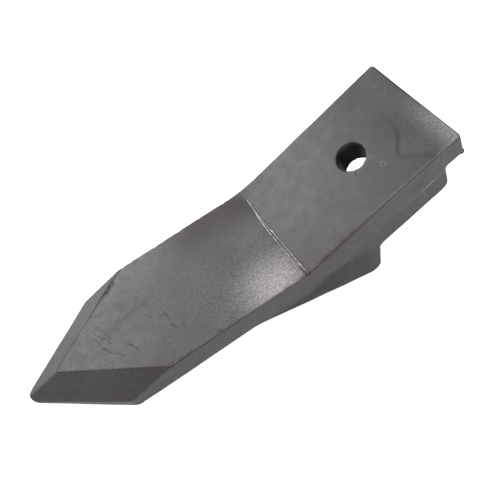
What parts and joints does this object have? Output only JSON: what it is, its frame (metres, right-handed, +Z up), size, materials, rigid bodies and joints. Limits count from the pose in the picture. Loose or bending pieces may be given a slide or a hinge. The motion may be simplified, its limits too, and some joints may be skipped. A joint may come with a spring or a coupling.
{
  "type": "excavator bucket tooth",
  "caption": "Bolt-on steel bucket tooth with a spear-pointed blade, a drilled strap between side flanges, a deep heel, and its loose bolt, nut and washers.",
  "frame": {"origin": "on the floor, at the middle of the box around the resting tooth", "axes": "+X towards the tooth's point, +Y to its left, +Z up; the tooth rests on its heel and its point, with the strap raised behind"},
  "size_m": [0.2608, 0.0724, 0.1054],
  "materials": {
    "tooth_steel": "as-forged warm grey alloy steel, matte and finely grained, faint rust along the edges",
    "bolt_steel": "black-oxide high-tensile steel, satin, lightly oiled",
    "zinc_washer": "clear zinc plate, satin",
    "zinc_nut": "clear zinc plate, satin",
    "nylon_insert": "plain blue nylon, slightly glossy"
  },
  "bodies": {
    "tooth": {"tooth_body": "tooth_steel"},
    "bolt": {"fixing_bolt": "bolt_steel"},
    "head_washer": {"head_washer": "zinc_washer"},
    "nut_washer": {"nut_washer": "zinc_washer"},
    "lock_insert": {"lock_insert": "nylon_insert"},
    "lock_nut": {"lock_nut": "zinc_nut"}
  },
  "joints": [
    {"name": "bolt_slide", "type": "slide", "parent": "tooth", "child": "bolt", "axis": [-1, 0, 0], "range_m": [0, 0.12]},
    {"name": "head_washer_slide", "type": "slide", "parent": "bolt", "child": "head_washer", "axis": [0, 0, 1], "range_m": [0, 0.008]},
    {"name": "nut_washer_slide", "type": "slide", "parent": "head_washer", "child": "nut_washer", "axis": [0, 0, 1], "range_m": [0, 0.0085]},
    {"name": "nut_travel", "type": "slide", "parent": "bolt", "child": "lock_insert", "axis": [0, 0, 1], "range_m": [0, 0.0196]},
    {"name": "nut_spin", "type": "hinge", "parent": "lock_insert", "child": "lock_nut", "pos_m": [-0.11512, 0, 0.04], "axis": [0, 0, 1], "range_deg": [0, 3510]}
  ],
  "couplings": [
    {"joint": "nut_travel", "follows": "nut_spin", "m_per_rad": 0.00031831}
  ]
}
